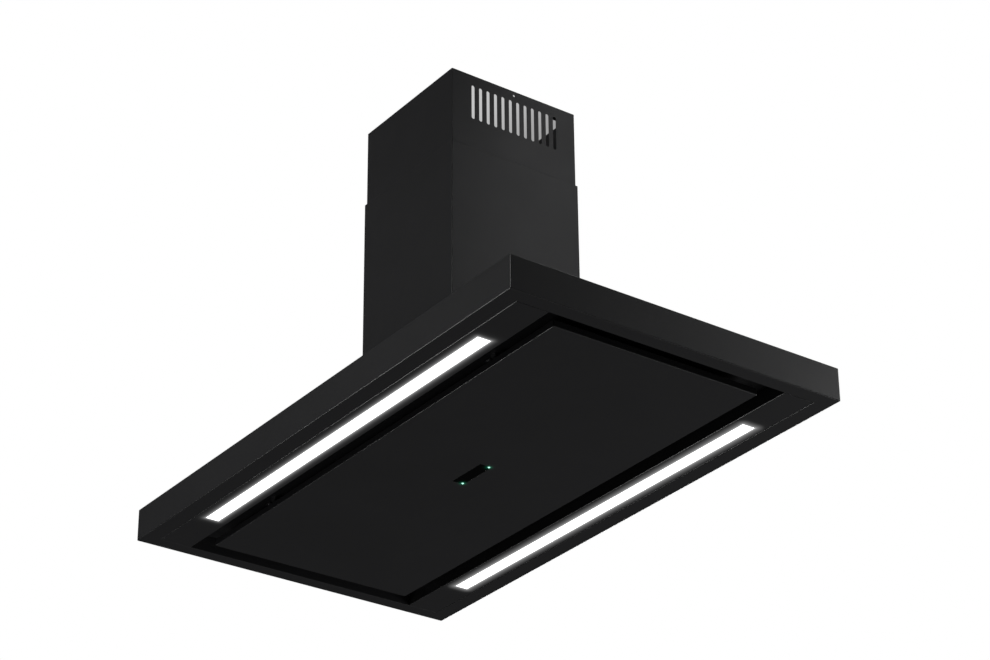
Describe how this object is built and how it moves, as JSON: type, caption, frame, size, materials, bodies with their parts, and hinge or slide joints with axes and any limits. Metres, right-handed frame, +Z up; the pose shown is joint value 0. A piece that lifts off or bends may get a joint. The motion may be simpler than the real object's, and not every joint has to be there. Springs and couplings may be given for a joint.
{
  "type": "island chimney range hood",
  "caption": "Island chimney range hood: flat canopy with perimeter suction panel, light bars and touch-free sensor, under a telescoping square chimney hung from the ceiling.",
  "frame": {"origin": "centre of the ceiling plane, between the four bolt holes in the posts' feet", "axes": "+Z up into the ceiling, +X along the canopy's long side, -Y is the front long side"},
  "size_m": [1.2, 0.7, 0.7449],
  "materials": {
    "black_coat": "fine matt powder coat",
    "black_coat_panel": "fine matt powder coat",
    "galvanised": "galvanised, dull spangle",
    "bright_zinc": "bright zinc plated",
    "satin_alu": "satin anodised",
    "mesh_alu": "bright rolled mesh",
    "opal_light": "opal diffuser, lit",
    "board_white": "white solder mask",
    "board_green": "green solder mask",
    "black_gloss": "smoked glossy window",
    "lamp_green": "clear dome, lit pale green",
    "black_plastic": "fine grain moulding",
    "grey_plastic": "glass filled moulding",
    "white_plastic": "satin moulded case",
    "black_rubber": "matt elastomer",
    "felt_strip": "self-adhesive felt",
    "motor_steel": "electro-coated can",
    "shaft_steel": "ground steel"
  },
  "bodies": {
    "ceiling_frame": {"upper_posts": "galvanised", "upper_tie_frame": "galvanised", "height_bolts": "bright_zinc", "chimney_spacers": "black_plastic"},
    "upper_chimney": {"upper_chimney": "black_coat"},
    "hood": {"canopy_shell": "black_coat", "carrier_plate": "galvanised", "light_tray_front": "black_coat", "light_tray_back": "black_coat", "led_channel_front": "satin_alu", "led_channel_back": "satin_alu", "led_board_front": "board_white", "led_board_back": "board_white", "led_diffuser_front": "opal_light", "led_diffuser_back": "opal_light", "tray_screws": "bright_zinc", "air_deck": "black_coat", "deck_screws": "bright_zinc", "filter_frame_left": "satin_alu", "filter_frame_right": "satin_alu", "filter_mesh_left": "mesh_alu", "filter_mesh_right": "mesh_alu", "sensor_housing": "black_plastic", "sensor_window": "black_gloss", "status_lamps": "lamp_green", "lower_posts": "galvanised", "lower_tie_frame": "galvanised", "post_bolts": "bright_zinc", "blower_case": "galvanised", "case_screws": "bright_zinc", "scroll_half_left": "grey_plastic", "scroll_half_right": "grey_plastic", "motor_body": "motor_steel", "motor_bracket": "galvanised", "motor_dampers": "black_rubber", "capacitor": "white_plastic", "capacitor_clip": "bright_zinc", "outlet_collar": "galvanised", "flap_spindles": "bright_zinc", "cable_gland": "black_plastic", "control_box": "grey_plastic", "control_lid": "grey_plastic", "control_board": "board_green", "led_driver": "white_plastic", "hinge_brackets": "bright_zinc", "hinge_pins": "bright_zinc", "magnet_brackets": "black_coat", "panel_magnets": "bright_zinc"},
    "lower_chimney": {"lower_chimney": "black_coat", "chimney_glides": "felt_strip"},
    "suction_panel": {"suction_panel": "black_coat_panel", "panel_stiffeners": "galvanised", "hinge_leaves": "bright_zinc"},
    "latch_left": {"filter_latch_left": "black_plastic"},
    "latch_right": {"filter_latch_right": "black_plastic"},
    "fan": {"fan_wheel": "grey_plastic", "motor_shaft": "shaft_steel"},
    "flap_front": {"return_flap_front": "grey_plastic"},
    "flap_back": {"return_flap_back": "grey_plastic"}
  },
  "joints": [
    {"name": "hood_height", "type": "slide", "parent": "ceiling_frame", "child": "hood", "axis": [0, 0, 1], "range_m": [-0.22, 0.08]},
    {"name": "upper_chimney_slide", "type": "slide", "parent": "ceiling_frame", "child": "upper_chimney", "axis": [0, 0, 1], "range_m": [-0.1, 0]},
    {"name": "lower_chimney_lift", "type": "slide", "parent": "hood", "child": "lower_chimney", "axis": [0, 0, 1], "range_m": [0, 0.12]},
    {"name": "panel_hinge", "type": "hinge", "parent": "hood", "child": "suction_panel", "pos_m": [0, 0.205, -0.7235], "axis": [1, 0, 0], "range_deg": [0, 85]},
    {"name": "latch_left_slide", "type": "slide", "parent": "hood", "child": "latch_left", "axis": [0, 1, 0], "range_m": [0, 0.006], "stiffness_N_per_m": 400},
    {"name": "latch_right_slide", "type": "slide", "parent": "hood", "child": "latch_right", "axis": [0, 1, 0], "range_m": [0, 0.006], "stiffness_N_per_m": 400},
    {"name": "fan_spin", "type": "hinge", "parent": "hood", "child": "fan", "pos_m": [0, -0.0264, -0.57005], "axis": [1, 0, 0], "continuous": true},
    {"name": "flap_front_swing", "type": "hinge", "parent": "hood", "child": "flap_front", "pos_m": [0, -0.005, -0.406], "axis": [-1, 0, 0], "range_deg": [0, 80]},
    {"name": "flap_back_swing", "type": "hinge", "parent": "hood", "child": "flap_back", "pos_m": [0, 0.005, -0.406], "axis": [1, 0, 0], "range_deg": [0, 80]}
  ]
}
